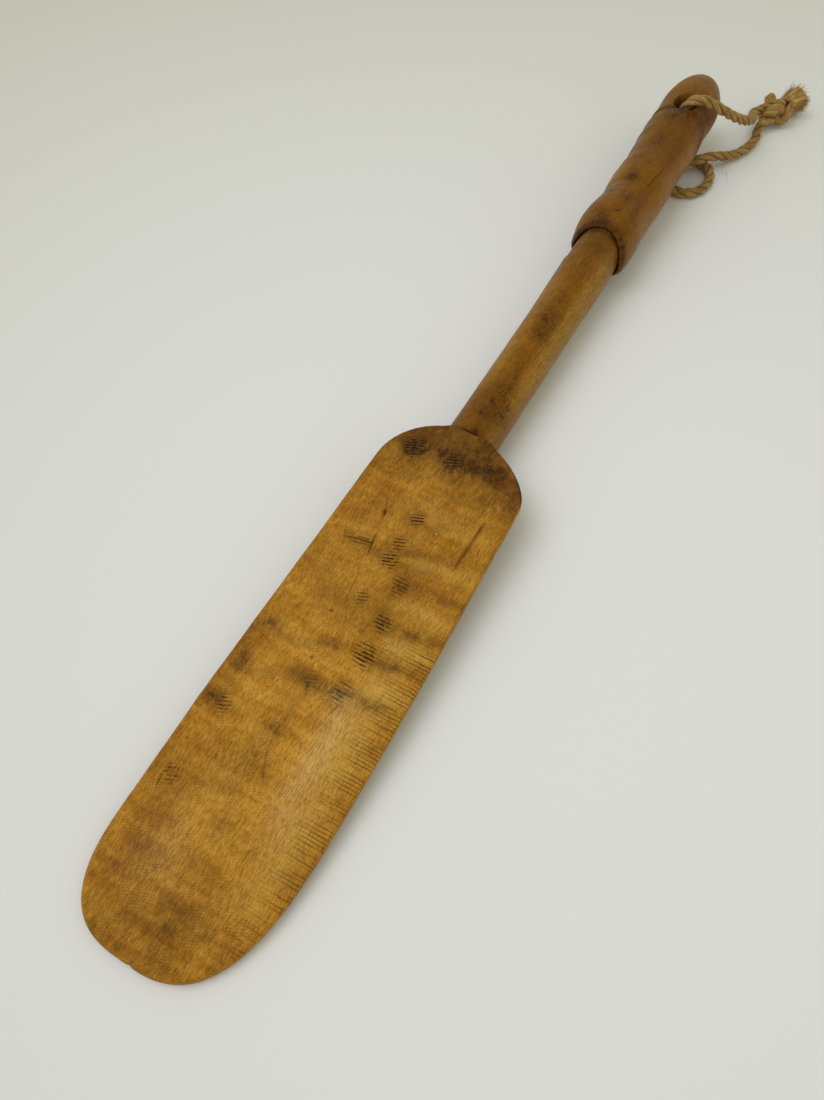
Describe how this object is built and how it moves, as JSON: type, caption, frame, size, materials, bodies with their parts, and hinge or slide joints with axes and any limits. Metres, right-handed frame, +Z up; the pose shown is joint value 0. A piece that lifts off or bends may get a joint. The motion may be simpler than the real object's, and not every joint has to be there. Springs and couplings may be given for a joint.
{
  "type": "single blade paddle",
  "caption": "Short one-hand carved wooden paddle with a lapped blade, round shaft, socketed handle and a knotted jute lanyard.",
  "frame": {"origin": "on the table under the middle of the wooden part, with the paddle lying as it rests", "axes": "+X along the paddle from the blade's tip to the handle's end, +Z up out of the blade's face"},
  "size_m": [0.6681, 0.1036, 0.0504],
  "materials": {
    "blade_wood": "oiled, worn, stained",
    "shaft_wood": "oiled, worn, stained",
    "grip_wood": "oiled, hand polished",
    "peg_wood": "end grain, dark",
    "jute": "twisted natural fibre"
  },
  "bodies": {
    "paddle": {"blade": "blade_wood", "shaft": "shaft_wood", "grip": "grip_wood", "grip_pin": "peg_wood", "lap_peg_front": "peg_wood", "lap_peg_rear": "peg_wood"},
    "lanyard": {"lanyard_cord": "jute", "lanyard_knot": "jute", "lanyard_frayed_end": "jute"}
  },
  "joints": [
    {"name": "lanyard_swing", "type": "hinge", "parent": "paddle", "child": "lanyard", "pos_m": [0.2565, 0.0026, 0.0273], "axis": [0, 0, 1], "range_deg": [-30, 0]}
  ]
}
